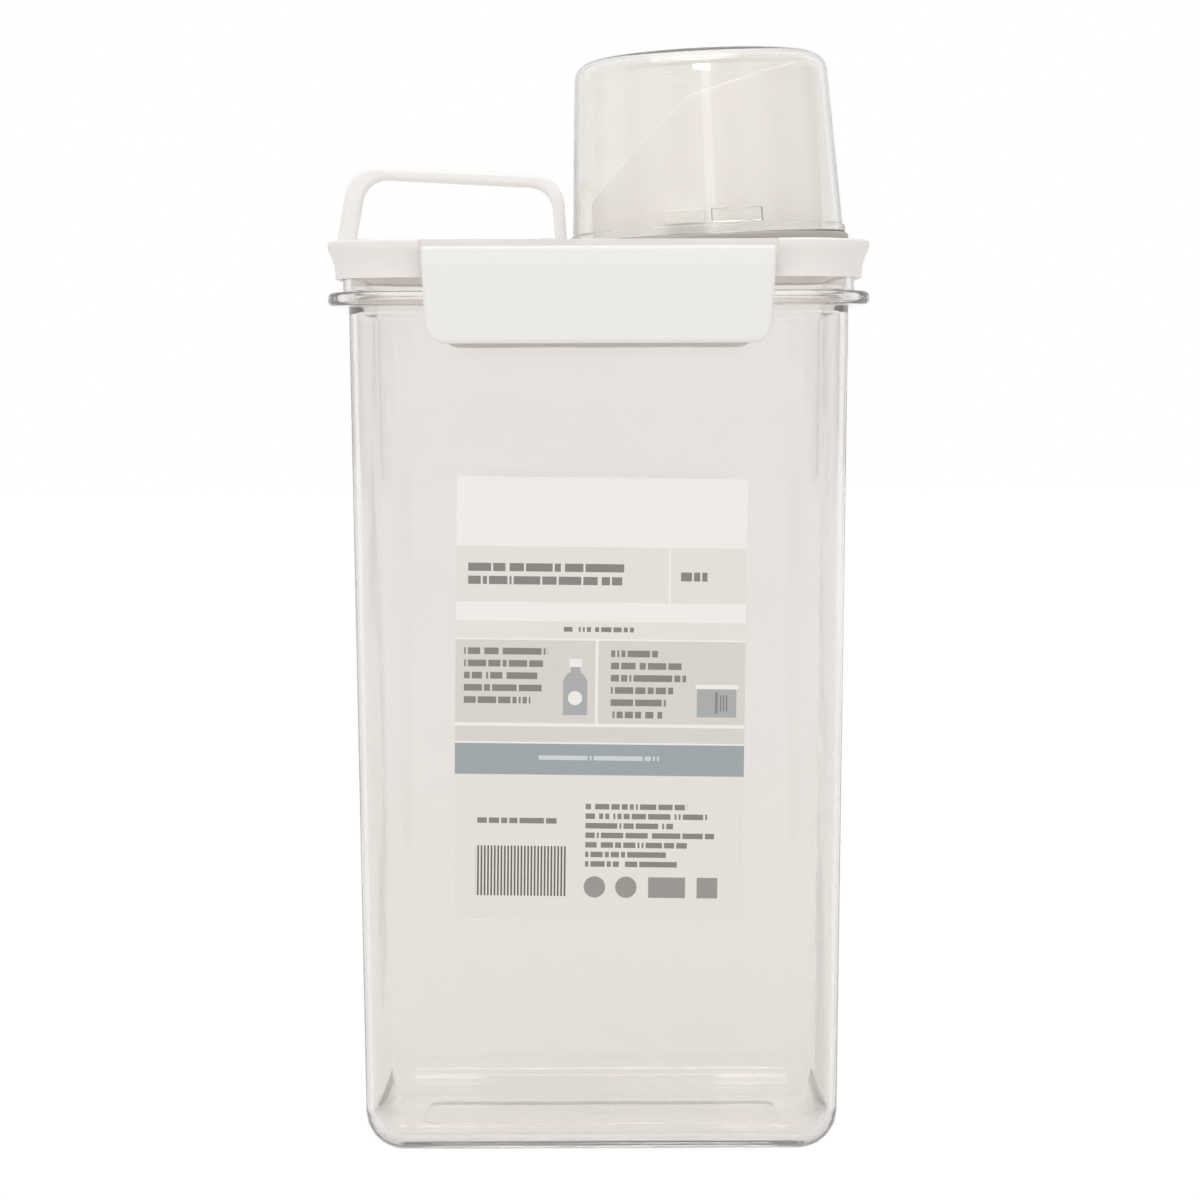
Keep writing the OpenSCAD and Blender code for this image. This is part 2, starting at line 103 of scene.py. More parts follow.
# Clips and their hinges
CLIP_W = 94.4 * MM
CLIP_NARROWING = 1.5 * MM
CLIP_T = 2.3 * MM
CLIP_OUT_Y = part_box("rear_clip")[1].y
CLIP_IN_Y = CLIP_OUT_Y - CLIP_T
CLIP_TOP_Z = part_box("rear_clip")[1].z
CLIP_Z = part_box("rear_clip")[0].z
CLIP_CORNER_R = 5 * MM
CLIP_TOP_CORNER_R = 1.2 * MM
CLIP_OUT_EDGE_W = 1.2 * MM
CLIP_IN_EDGE_W = 0.4 * MM
CLIP_ROOT = 0.6 * MM
CREASE_DROP = 4.8 * MM
CREASE_HALF_W = 0.4 * MM
CREASE_IN = 0.5 * MM
HOOK_TOP_Z = FLANGE_Z - 0.3 * MM
HOOK_T = 3.6 * MM
HOOK_END_GAP = 0.4 * MM
HOOK_TIP_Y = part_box("rear_clip")[0].y
EYE_R = 1.9 * MM
EYE_W = 10 * MM
EYE_PITCH = 32 * MM
EYE_CORNER_R = EYE_R * 0.98
EYE_BORE_R = 1.06 * MM
HINGE_Y = CLIP_IN_Y - 1.3 * MM
HINGE_Z = CLIP_TOP_Z - EYE_R

# Handle
STRAP_W = 8 * MM
STRAP_T = 3.5 * MM
STRAP_EDGE_W = 1.3 * MM
ROD_EDGE_W = 0.25 * MM
BEND_R = 8.5 * MM
END_BEND_IN_R = 6.5 * MM
CUP_BEND_IN_R = 6.3 * MM
END_LEG_T = 5.1 * MM
END_LEG_TAPER = 0.7 * MM
CUP_LEG_T = 3.2 * MM
HANDLE_H = 22.1 * MM
HANDLE_FALL = 2.8 * MM
END_LEG_LEAN = 4 * MM
CUP_LEG_LEAN = 1.3 * MM
PIN_R = 1.2 * MM
PIN_L = 3.8 * MM
FOOT_R = 2.1 * MM
TAPER_H = 12 * MM
END_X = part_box("handle")[0].x
CUP_LEG_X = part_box("handle")[1].x
END_IN_X = END_X + END_LEG_T
CUP_IN_X = CUP_LEG_X - CUP_LEG_T
PIVOT_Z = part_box("handle")[0].z + FOOT_R

# Spout, cup and the ring under the cup, in the leaning frame of their seat
SEAT_X = 30.6 * MM
SEAT_Z = 247.8 * MM
SEAT_TILT = math.radians(2.5)
SEAT = Matrix.Translation((SEAT_X, 0, SEAT_Z)) @ Matrix.Rotation(-SEAT_TILT, 4, "Y")
SPOUT_R = 32 * MM
SPOUT_T = 1.6 * MM
SPOUT_TAIL_Z = -6.4 * MM
SPOUT_H = 47.4 * MM
SPOUT_LOW_H = 12.5 * MM
KNEE_X = -5.4 * MM
KNEE_H = SPOUT_H - 8.5 * MM
CREST_X = 23.5 * MM
LEDGE_R = 34.6 * MM
LEDGE_T = 1.2 * MM
STOP_R = 34.9 * MM
STOP_TURN = -12
STOP_SPREAD = 18
STOP_EDGE_W = 0.3 * MM
LUG_TURN = 11
LUG_SPREAD = 24
LUG_H = 3.8 * MM
LUG_MID_Z = 6.7 * MM
CUP_Z = 1.9 * MM
CUP_END_Z = 52 * MM
CUP_R = 37.7 * MM
CUP_END_R = 34.9 * MM
CUP_WALL = 1.8 * MM
CUP_SHOULDER_R = 5.2 * MM
LIP_R = 38.3 * MM
LIP_H = 2.2 * MM
LUG_IN = 1.5 * MM
LUG_SOFT = 0.5 * MM
MARK_COUNT = 4
MARK_TOP_GAP = 6 * MM
MARK_SPREAD = 15
MARK_PITCH = 8 * MM
MARK_H = 0.7 * MM
MARK_OUT = 0.35 * MM
RING_R = 39 * MM
RING_IN_R = 34.9 * MM
RING_T = 1.8 * MM

# Fineness of the meshes
CORNER_STEPS = 16
ROUND_STEPS = 96
ARC_STEPS = 5
ROD_STEPS = 32
BORE_STEPS = 24
MERGE = 0.002 * MM

# Studio and floor
WHITE = (1.0, 1.0, 1.0, 1.0)
SOFT_WHITE = (1.0, 0.995, 0.985, 1.0)
RIPPLE_DEPTH = 0.3
PANEL_GLOW = 4.5
FLOOR_COLOUR = (0.86, 0.85, 0.83, 1.0)
FLOOR_HALF = 6.0
FLOOR_GAP = 0.2 * MM
# Reach of the floor's painted shade near the tub
FLOOR_FADE = 1.4

# Lights: name, place, what they aim at, width, height and power in watts
LIGHTS = [("strip", (0.06, -1.05, 0.47), (0.03, 0, 0.27), 0.15, 0.3, 0.1),
          ("bar", (0, -1.2, 0.62), (0, 0, 0.02), 0.32, 0.05, 0.6),
          ("top", (-0.2, -0.5, 1.4), (0, 0, 0.15), 1.2, 1.2, 5.0)]

# Camera, fitted to the photograph, with its angles in degrees
CAMERA_PLACE = (0.00028, -0.931, 0.2078)
CAMERA_DOWN = 3.61
CAMERA_ROLL = 0.2
CAMERA_LENS = 99.72
CAMERA_SENSOR = 36


# Materials


def srgb(red, green, blue):
    """Linear colour of a screen colour given from 0 to 255."""
    return tuple((c / 255 / 12.92) if c < 10.3 else ((c / 255 + 0.055) / 1.055) ** 2.4
                 for c in (red, green, blue)) + (1.0,)


class Value:
    """A node's output that Python's operators work on by adding Math nodes."""

    def __init__(self, finish, output):
        self.finish = finish
        self.output = output

    def math(self, operation, *values):
        inputs = dict(enumerate(values))
        return self.finish.node("ShaderNodeMath", {"operation": operation}, inputs)

    def __add__(self, other):
        return self.math("ADD", self, other)

    def __sub__(self, other):
        return self.math("SUBTRACT", self, other)

    def __rsub__(self, other):
        return self.math("SUBTRACT", other, self)

    def __mul__(self, other):
        return self.math("MULTIPLY", self, other)

    def __truediv__(self, other):
        return self.math("DIVIDE", self, other)

    def __lt__(self, other):
        return self.math("LESS_THAN", self, other)

    def __gt__(self, other):
        return self.math("GREATER_THAN", self, other)

    def __or__(self, other):
        return self.math("MAXIMUM", self, other)

    def floor(self):
        return self.math("FLOOR", self)

    def cosine(self):
        return self.math("COSINE", self)

    def magnitude(self):
        return self.math("ABSOLUTE", self)

    def near(self, middle, reach):
        """1 where the value lies within reach of the middle, else 0."""
        return self.math("COMPARE", self, middle, reach)

    __radd__ = __add__
    __rmul__ = __mul__


class Finish:
    """A node tree and the one method that adds its nodes."""

    def __init__(self, owner):
        owner.use_nodes = True
        self.owner = owner
        self.tree = owner.node_tree
        self.tree.nodes.clear()

    def node(self, kind, settings=None, inputs=None, output=0):
        """Adds a node, with its settings first, and gives one of its outputs."""
        node = self.tree.nodes.new(kind)
        for name, value in (settings or {}).items():
            if name == "stops":
                set_stops(node.color_ramp, value)
            else:
                setattr(node, name, value)
        for key, value in (inputs or {}).items():
            if isinstance(value, Value):
                self.tree.links.new(value.output, node.inputs[key])
            else:
                node.inputs[key].default_value = value
        return Value(self, node.outputs[output]) if node.outputs else node

    def position(self):
        return self.node("ShaderNodeTexCoord", output="Object")

    def noise(self, scale, detail=2.0, roughness=0.5):
        inputs = {"Vector": self.position(), "Scale": scale, "Detail": detail,
                  "Roughness": roughness}
        return self.node("ShaderNodeTexNoise", None, inputs)

    def mix(self, factor, first, second):
        inputs = {0: factor, 6: first, 7: second}
        return self.node("ShaderNodeMix", {"data_type": "RGBA"}, inputs, output=2)

    def bump(self, height, distance, strength=1.0):
        inputs = {"Height": height, "Distance": distance, "Strength": strength}
        return self.node("ShaderNodeBump", None, inputs)

    def surface(self, **inputs):
        """Principled surface; an underscore in a name stands for a space."""
        named = {name.replace("_", " "): value for name, value in inputs.items()}
        shader = self.node("ShaderNodeBsdfPrincipled", None, named)
        return self.node("ShaderNodeOutputMaterial", None, {"Surface": shader})


def set_stops(ramp, stops):
    """Gives a ramp its stops as (place, colour), each colour held up to the next."""
    ramp.interpolation = "CONSTANT"
    while len(ramp.elements) < len(stops):
        ramp.elements.new(1.0)
    for element, (place, colour) in zip(ramp.elements, stops):
        element.position = place
        element.color = colour


def new_finish(name):
    return Finish(bpy.data.materials.new(name))


def clear_plastic(name, tint, wave):
    """Clear moulded plastic with a faintly wavy surface."""
    finish = new_finish(name)
    slow = finish.noise(9.0, 1.0)
    fine = finish.noise(60.0, 2.0)
    wavy = finish.bump(slow + fine * 0.06, wave)
    finish.surface(
        Base_Color=tint, Roughness=0.012 + fine * 0.02, IOR=1.57, Transmission_Weight=0.97,
        Normal=wavy)
    return finish.owner


def white_plastic(name, colour, roughness, soft=0.0):
    """Moulded white plastic with a fine satin grain and slow changes of gloss."""
    finish = new_finish(name)
    slow = finish.noise(35.0, 3.0)
    grain = finish.noise(2600.0, 2.0, 0.6)
    darker = tuple(c * 0.965 for c in colour[:3]) + (1.0,)
    finish.surface(
        Base_Color=finish.mix(slow, darker, colour),
        Roughness=roughness - 0.06 + slow * 0.12 + grain * 0.05,
        Normal=finish.bump(grain + slow * 2.0, 0.00003, 0.55),
        Subsurface_Weight=soft, Subsurface_Scale=0.002, IOR=1.49)
    return finish.owner


def silicone(name, colour):
    """Matt rubber with a dusty grain."""
    finish = new_finish(name)
    grain = finish.noise(1500.0, 3.0, 0.6)
    slow = finish.noise(60.0, 2.0)
    darker = tuple(c * 0.9 for c in colour[:3]) + (1.0,)
    finish.surface(
        Base_Color=finish.mix(slow, darker, colour),
        Roughness=0.5 + grain * 0.15,
        Normal=finish.bump(grain, 0.00004, 0.5), IOR=1.41)
    return finish.owner


# The sticker's print, in millimetres from its top left corner
PAPER = srgb(237, 235, 232)
PALE = srgb(227, 223, 218)
BAND = srgb(225, 222, 218)
PANEL = srgb(213, 209, 203)
SLATE = srgb(154, 163, 167)
INK = srgb(132, 128, 124)
STRIPE_INK = srgb(92, 88, 84)
BAND_INK = srgb(206, 210, 212)
BADGE = srgb(150, 147, 143)
DRAWING = srgb(168, 170, 170)
DRAWING_LIGHT = srgb(236, 234, 230)
BARE_BACK = srgb(232, 229, 225)
FIELDS = [(0.0, PAPER), (18.6, BAND), (33.4, PAPER), (38.4, PALE), (43.0, PAPER),
          (43.8, PANEL), (66.2, PAPER), (66.7, PANEL), (71.0, PAPER), (71.6, SLATE),
          (80.2, PALE)]
FIELD_EDGES = (18.6, 43.8, 66.7, 71.6)


class Print:
    """Simple shapes on the sticker, as masks over its place across and down."""

    def __init__(self, finish, across, down):
        self.finish = finish
        self.across = across
        self.down = down

    def block(self, left, right, top, bottom):
        return (self.across.near((left + right) / 2, (right - left) / 2)
                * self.down.near((top + bottom) / 2, (bottom - top) / 2))

    def disc(self, across, down, radius):
        squared = ((self.across - across) * (self.across - across)
                   + (self.down - down) * (self.down - down))
        return squared < radius * radius

    def lines(self, left, right, top, count, pitch, height, ragged=0.3):
        """Lines of plain dashes, with gaps and uneven ends."""
        dash = 0.55
        step = (self.down - top) / pitch
        row = step.floor()
        place = self.finish.node("ShaderNodeCombineXYZ", None,
                                 {0: (self.across / dash).floor(), 1: row, 2: top})
        mark = self.finish.node("ShaderNodeTexWhiteNoise", {"noise_dimensions": "3D"},
                                {"Vector": place})
        end = self.finish.node("ShaderNodeTexWhiteNoise", {"noise_dimensions": "1D"},
                               {"W": row + top})
        inside = self.block(left, right, top, top + count * pitch)
        shorter = self.across < right - (right - left) * ragged * end
        return inside * ((step - row) < height / pitch) * (mark > 0.17) * shorter

    def stripes(self, left, right, top, bottom, pitch):
        step = self.across / pitch
        return self.block(left, right, top, bottom) * ((step - step.floor()) < 0.5)


def sticker_film(name):
    """Printed film: fields of grey, plain dashes for lines, and simple shapes."""
    finish = new_finish(name)
    corner = (Matrix.Rotation(LABEL_TURN, 3, "Y") @ Vector((-LABEL_W / 2, 0, LABEL_H / 2))
              + Vector((0, 0, LABEL_MID_Z)))
    place = finish.node(
        "ShaderNodeMapping", {"vector_type": "TEXTURE"},
        {"Vector": finish.position(), "Location": corner,
         "Rotation": (0, LABEL_TURN, 0), "Scale": (MM, MM, -MM)})
    across = finish.node("ShaderNodeSeparateXYZ", None, {0: place}, "X")
    down = finish.node("ShaderNodeSeparateXYZ", None, {0: place}, "Z")
    marks = Print(finish, across, down)

    height = LABEL_H / MM
    stops = [(top / height, colour) for top, colour in FIELDS]
    colour = finish.node("ShaderNodeValToRGB", {"stops": stops}, {0: down / height})
    dividers = marks.block(57.0, 57.6, 18.6, 33.4) | marks.block(37.6, 38.4, 43.8, 66.2)
    for edge in FIELD_EDGES:
        dividers = dividers | marks.block(0, LABEL_W / MM, edge - 0.25, edge + 0.05)
    colour = finish.mix(dividers, colour, PAPER)

    # Jug with a spout and a handle, and a cup with a scale, both plain outlines
    jug = (marks.block(29.0, 35.5, 54.5, 64.0) | marks.block(31.0, 33.6, 50.5, 54.5)
           | marks.disc(32.2, 55.2, 3.1))
    jug_cap = marks.block(30.6, 34.0, 48.8, 51.0)
    jug_label = marks.disc(32.2, 59.4, 1.9)
    cup = marks.block(65.0, 75.6, 56.4, 64.2)
    cup_rim = marks.block(64.6, 76.0, 55.4, 56.6)
    cup_scale = marks.block(69.9, 70.6, 57.4, 63.2) | marks.stripes(70.9, 73.2, 58.2, 62.6, 0.8)
    colour = finish.mix(jug | cup, colour, DRAWING)
    colour = finish.mix(jug_cap | jug_label | cup_rim, colour, DRAWING_LIGHT)
    colour = finish.mix(cup_scale, colour, INK)

    words = (marks.lines(3.2, 47.4, 23.2, 2, 3.5, 2.2, 0.1)
             | marks.lines(60.3, 67.4, 25.2, 1, 3.0, 2.4, 0.0)
             | marks.lines(29.0, 48.4, 40.2, 1, 2.0, 1.3, 0.0)
             | marks.lines(2.3, 26.0, 46.0, 5, 3.3, 1.8)
             | marks.lines(41.8, 62.5, 46.4, 6, 3.3, 1.8, 0.4)
             | marks.lines(35.4, 73.0, 88.0, 7, 2.6, 1.5, 0.5)
             | marks.lines(6.2, 27.6, 92.0, 1, 2.6, 1.5, 0.0))
    colour = finish.mix(words, colour, INK)
    band_words = marks.lines(22.4, 55.0, 75.0, 1, 2.2, 1.2, 0.0)
    colour = finish.mix(band_words, colour, BAND_INK)
    colour = finish.mix(marks.stripes(5.8, 30.2, 99.6, 113.2, 0.9), colour, STRIPE_INK)
    badges = (marks.disc(38.0, 110.6, 2.9) | marks.disc(46.5, 110.6, 2.9)
              | marks.block(52.5, 62.5, 107.8, 113.4) | marks.block(65.6, 71.2, 107.8, 113.4))
    colour = finish.mix(badges, colour, BADGE)

    # The side that lies against the tub stays bare
    along = finish.node("ShaderNodeSeparateXYZ", None, {0: finish.position()}, "Y")
    up = finish.node("ShaderNodeSeparateXYZ", None, {0: finish.position()}, "Z")
    middle = AXIS_Y + wall_off(0) + LABEL_GAP + LABEL_T / 2
    printed = (along + up * LEAN) < -middle
    colour = finish.mix(printed, BARE_BACK, colour)

    fibre = finish.noise(900.0, 3.0, 0.6)
    slow = finish.noise(14.0, 1.0)
    finish.surface(
        Base_Color=colour, Roughness=0.38 + fibre * 0.08, IOR=1.48,
        Normal=finish.bump(slow + fibre * 0.02, 0.0004, 0.3))
    return finish.owner


# Meshes


def round_vert(bm, vert, radius):
    """Rounds the corner between a vertex's two edges to a radius."""
    first, second = [edge.other_vert(vert).co - vert.co for edge in vert.link_edges]
    reach = radius / math.tan(first.angle(second) / 2)
    bmesh.ops.bevel(bm, geom=[vert], offset=reach, offset_type="OFFSET", profile=0.5,
                    segments=ARC_STEPS, affect="VERTICES", material=-1)


def wire(corners, closed=False):
    """Wire through corners given as (point, radius), each rounded to its radius."""
    bm = bmesh.new()
    verts = [bm.verts.new(point) for point, radius in corners]
    for pair in zip(verts, verts[1:] + verts[:1] if closed else verts[1:]):
        bm.edges.new(pair)
    for vert, (point, radius) in zip(verts, corners):
        if radius:
            round_vert(bm, vert, radius)
    return bm


def slab(corners, thickness):
    """Flat outline through corners given as (point, radius), made a solid by a vector."""
    bm = bmesh.new()
    verts = [bm.verts.new(point) for point, radius in corners]
    bm.faces.new(verts)
    for vert, (point, radius) in zip(verts, corners):
        if radius:
            round_vert(bm, vert, radius)
    extrude_faces(bm, bm.faces[:], thickness)
    return bm


def extrude_faces(bm, faces, step):
    """Extrudes faces by a vector and gives the moved vertices."""
    edges = list({edge for face in faces for edge in face.edges})
    new = bmesh.ops.extrude_face_region(bm, geom=faces + edges)["geom"]
    moved = [part for part in new if isinstance(part, bmesh.types.BMVert)]
    bmesh.ops.translate(bm, verts=moved, vec=step)
    return moved


def spin_full(bm, steps=ROUND_STEPS):
    """Spins all that a bmesh holds once round Z."""
    bmesh.ops.spin(bm, geom=bm.verts[:] + bm.edges[:], cent=(0, 0, 0), axis=(0, 0, 1),
                   dvec=(0, 0, 0), angle=TAU, steps=steps, use_merge=True,
                   use_normal_flip=False, use_duplicate=False)
    bmesh.ops.remove_doubles(bm, verts=bm.verts, dist=MERGE)


def sweep_round(bm):
    """Sweeps a section round the tub's four corners and four straight sides."""
    edges = bm.edges[:]
    verts = bm.verts[:]
    sides = [((AXIS_X, AXIS_Y), (-2 * AXIS_X, 0)), ((-AXIS_X, AXIS_Y), (0, -2 * AXIS_Y)),
             ((-AXIS_X, -AXIS_Y), (2 * AXIS_X, 0)), ((AXIS_X, -AXIS_Y), (0, 2 * AXIS_Y))]
    for (x, y), (run_x, run_y) in sides:
        spun = bmesh.ops.spin(
            bm, geom=verts + edges, cent=(x, y, 0), axis=(0, 0, 1), dvec=(0, 0, 0),
            angle=TAU / 4, steps=CORNER_STEPS, use_merge=False, use_normal_flip=False,
            use_duplicate=False)["geom_last"]
        last = [part for part in spun if isinstance(part, bmesh.types.BMEdge)]
        new = bmesh.ops.extrude_edge_only(bm, edges=last)["geom"]
        verts = [part for part in new if isinstance(part, bmesh.types.BMVert)]
        bmesh.ops.translate(bm, verts=verts, vec=(run_x, run_y, 0))
        moved = set(verts)
        edges = [part for part in new if isinstance(part, bmesh.types.BMEdge)
                 and moved.issuperset(part.verts)]
    bmesh.ops.remove_doubles(bm, verts=bm.verts, dist=MERGE)


def ring_cut(bm, z):
    """Adds a loop of edges at a height."""
    bmesh.ops.bisect_plane(bm, geom=bm.verts[:] + bm.edges[:] + bm.faces[:], dist=MERGE,
                           plane_co=(0, 0, z), plane_no=(0, 0, 1))


def bevel_edges(bm, edges, width, segments):
    bmesh.ops.bevel(bm, geom=edges, offset=width, offset_type="OFFSET", segments=segments,
                    profile=0.5, affect="EDGES", material=-1, clamp_overlap=True)


def rod(x0, x1, y, z, radius):
    """Round rod along X with softened ends."""
    bm = bmesh.new()
    place = Matrix.Translation(((x0 + x1) / 2, y, z)) @ Matrix.Rotation(TAU / 4, 4, "Y")
    bmesh.ops.create_cone(bm, cap_ends=True, segments=ROD_STEPS, radius1=radius,
                          radius2=radius, depth=x1 - x0, matrix=place)
    ends = [edge for face in bm.faces if len(face.verts) > 4 for edge in face.edges]
    bevel_edges(bm, ends, ROD_EDGE_W, 2)
    return bm


def joined(*parts):
    """One bmesh that holds the shells of several."""
    whole = bmesh.new()
    for part in parts:
        mesh = bpy.data.meshes.new("shell")
        part.to_mesh(mesh)
        part.free()
        whole.from_mesh(mesh)
        bpy.data.meshes.remove(mesh)
    return whole


def moulding(bm, name, node, material, matrix=None, sharp=38):
    """Makes a bmesh the piece that stands for a CAD node."""
    if matrix:
        bmesh.ops.transform(bm, matrix=matrix, verts=bm.verts)
    bmesh.ops.recalc_face_normals(bm, faces=bm.faces)
    mesh = bpy.data.meshes.new(name)
    bm.to_mesh(mesh)
    bm.free()
    mesh.shade_smooth()
    mesh.set_sharp_from_angle(angle=math.radians(sharp))
    mesh.materials.append(material)
    piece = bpy.data.objects.new(name, mesh)
    bpy.context.scene.collection.objects.link(piece)
    normals = piece.modifiers.new("even_normals", "WEIGHTED_NORMAL")
    normals.keep_sharp = True
    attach(piece, frame["nodes"][node]["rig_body"])
    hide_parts(node)
    return piece


def dress_solid(node, material):
    """Gives a material to a CAD node that keeps its own mesh."""
    materials = frame["nodes"][node].data.materials
    materials.clear()
    materials.append(material)


# Pieces


def wall_off(z):
    """Distance of the tub's outer wall from the corner axes at a height."""
    return CORNER_R - (FLANGE_Z - z) * LEAN


def tub_section():
    """Section of the tub at a corner: up the outside, over the rim, down the inside."""
    inner_r = BASE_EDGE_R - WALL
    places = [
        (0, 0, 0), (wall_off(0), 0, BASE_EDGE_R), (CORNER_R, FLANGE_Z, 0.5 * MM),
        (FLANGE_OFF, FLANGE_Z, 1.3 * MM), (FLANGE_OFF, FLANGE_TOP_Z, 1.3 * MM),
        (NECK_OFF, FLANGE_TOP_Z, 0.5 * MM), (NECK_OFF, RIM.z, 0.6 * MM),
        (NECK_OFF - WALL, RIM.z, 0.6 * MM), (NECK_OFF - WALL, FLANGE_Z + 1 * MM, 1.2 * MM),
        (CORNER_R - WALL, FLANGE_Z - WALL, 2.0 * MM),
        (wall_off(BASE_T) - WALL, BASE_T, inner_r), (0, BASE_T, 0)]
    return [((AXIS_X + off, AXIS_Y, z), radius) for off, z, radius in places]


def foot_recess(bm):
    """Sinks the shallow recess and its round moulding mark into the base."""
    bm.faces.ensure_lookup_table()
    base = min(bm.faces, key=lambda face: face.calc_center_median().length)
    bmesh.ops.inset_individual(bm, faces=[base], thickness=FOOT_CORNER_R)
    for vert in base.verts:
        vert.co.x = math.copysign(FOOT_W / 2, vert.co.x)
        vert.co.y = math.copysign(FOOT_D / 2, vert.co.y)
    corners = base.verts[:]
    bmesh.ops.bevel(bm, geom=corners, offset=FOOT_CORNER_R, offset_type="OFFSET",
                    segments=ARC_STEPS, profile=0.5, affect="VERTICES", material=-1)
    base = min(bm.faces, key=lambda face: face.calc_center_median().length)
    edges = base.edges[:]
    extrude_faces(bm, [base], (0, 0, FOOT_RECESS))
    many_sided = (face for face in bm.faces if len(face.verts) > 12)
    base = min(many_sided, key=lambda face: face.calc_center_median().xy.length)
    rim = base.edges[:]
    bmesh.ops.delete(bm, geom=[base], context="FACES_ONLY")
    disc = bmesh.ops.create_circle(bm, segments=len(rim), radius=GATE_R,
                                   matrix=Matrix.Translation((0, 0, FOOT_RECESS)))["verts"]
    ring = list({edge for vert in disc for edge in vert.link_edges})
    bmesh.ops.bridge_loops(bm, edges=rim + ring)
    face = bm.faces.new(disc)
    extrude_faces(bm, [face], (0, 0, GATE_H))
    bevel_edges(bm, edges, FOOT_EDGE_W, 2)


def tub(material):
    """Clear tub, swept round from its section and closed by its flat base."""
    bm = wire(tub_section())
    sweep_round(bm)
    bmesh.ops.holes_fill(bm, edges=bm.edges, sides=4)
    foot_recess(bm)
    return moulding(bm, "clear_tub", "container", material, sharp=50)


def sticker(material):
    """Thin film that leans with the front wall and is turned a little."""
    w = LABEL_W / 2
    h = LABEL_H / 2
    corners = [(-w, 0, -h), (w, 0, -h), (w, 0, h), (-w, 0, h)]
    bm = slab([(corner, LABEL_CORNER_R) for corner in corners], (0, LABEL_T, 0))
    y = AXIS_Y + wall_off(LABEL_MID_Z) + LABEL_GAP + LABEL_T
    place = (Matrix.Translation((0, -y, LABEL_MID_Z)) @ Matrix.Rotation(math.atan(LEAN), 4, "X")
             @ Matrix.Rotation(LABEL_TURN, 4, "Y"))
    return moulding(bm, "front_sticker", "label", material, place)


def lid(material):
    """The lid keeps the shape of its solid and gets softened edges."""
    bm = bmesh.new()
    bm.from_mesh(frame["nodes"]["lid"].data)
    bmesh.ops.remove_doubles(bm, verts=bm.verts, dist=MERGE)
    bmesh.ops.dissolve_limit(bm, angle_limit=math.radians(1), verts=bm.verts, edges=bm.edges,
                             use_dissolve_boundaries=False)
    piece = moulding(bm, "lid_moulding", "lid", material)
    soften = piece.modifiers.new("softened_edges", "BEVEL")
    soften.width = LID_EDGE_W
    soften.segments = 2
    soften.limit_method = "ANGLE"
    soften.angle_limit = math.radians(40)
    piece.modifiers.move(1, 0)
    return piece


def clip_plate():
    """Wide outer plate of a clip at the back, with its crease near the top."""
    top = CLIP_W / 2
    bottom = top - CLIP_NARROWING
    bm = slab([((-top, CLIP_IN_Y, CLIP_TOP_Z), CLIP_TOP_CORNER_R),
               ((top, CLIP_IN_Y, CLIP_TOP_Z), CLIP_TOP_CORNER_R),
               ((bottom, CLIP_IN_Y, CLIP_Z), CLIP_CORNER_R),
               ((-bottom, CLIP_IN_Y, CLIP_Z), CLIP_CORNER_R)], (0, CLIP_T, 0))
    outer = max(bm.faces, key=lambda face: face.calc_center_median().y)
    inner = min(bm.faces, key=lambda face: face.calc_center_median().y)
    bevel_edges(bm, outer.edges[:], CLIP_OUT_EDGE_W, 5)
    bevel_edges(bm, inner.edges[:], CLIP_IN_EDGE_W, 2)
    crease_z = CLIP_TOP_Z - CREASE_DROP
    for z in (crease_z - CREASE_HALF_W, crease_z, crease_z + CREASE_HALF_W):
        ring_cut(bm, z)
    for vert in bm.verts:
        depth = (vert.co.y - CLIP_IN_Y) / CLIP_T
        rise = max(0, vert.co.z - crease_z) / CREASE_DROP
        vert.co.y -= CREASE_IN * depth * rise
    return bm


def clip_hook():
    """Hook that grips under the tub's flange."""
    half_w = CLIP_W / 2 - CLIP_NARROWING - HOOK_END_GAP
    root_y = CLIP_IN_Y + CLIP_ROOT
    section = [(root_y, HOOK_TOP_Z, 0), (HOOK_TIP_Y, HOOK_TOP_Z, 0.4 * MM),
               (HOOK_TIP_Y, HOOK_TOP_Z - HOOK_T / 2, 0.5 * MM),
               (root_y, HOOK_TOP_Z - HOOK_T, 0)]
    return slab([((-half_w, y, z), radius) for y, z, radius in section], (2 * half_w, 0, 0))


def clip_eye(x):
    """Hinge eye with its bore, joined to the plate."""
    root_y = CLIP_IN_Y + CLIP_ROOT
    left = x - EYE_W / 2
    bm = wire([((left, root_y, HINGE_Z - EYE_R), 0),
               ((left, HINGE_Y - EYE_R, HINGE_Z - EYE_R), EYE_CORNER_R),
               ((left, HINGE_Y - EYE_R, HINGE_Z + EYE_R), EYE_CORNER_R),
               ((left, root_y, HINGE_Z + EYE_R), 0)], closed=True)
    bore = Matrix.Translation((left, HINGE_Y, HINGE_Z)) @ Matrix.Rotation(TAU / 4, 4, "Y")
    bmesh.ops.create_circle(bm, segments=BORE_STEPS, radius=EYE_BORE_R, matrix=bore)
    bmesh.ops.bridge_loops(bm, edges=bm.edges[:])
    extrude_faces(bm, bm.faces[:], (EYE_W, 0, 0))
    return bm


def clip(name, node, turn, material):
    """Snap clip: a plate with its hook and three hinge eyes, turned to its side."""
    eyes = [clip_eye(x) for x in (-EYE_PITCH, 0, EYE_PITCH)]
    bm = joined(clip_plate(), clip_hook(), *eyes)
    return moulding(bm, name, node, material, Matrix.Rotation(turn, 4, "Z"))


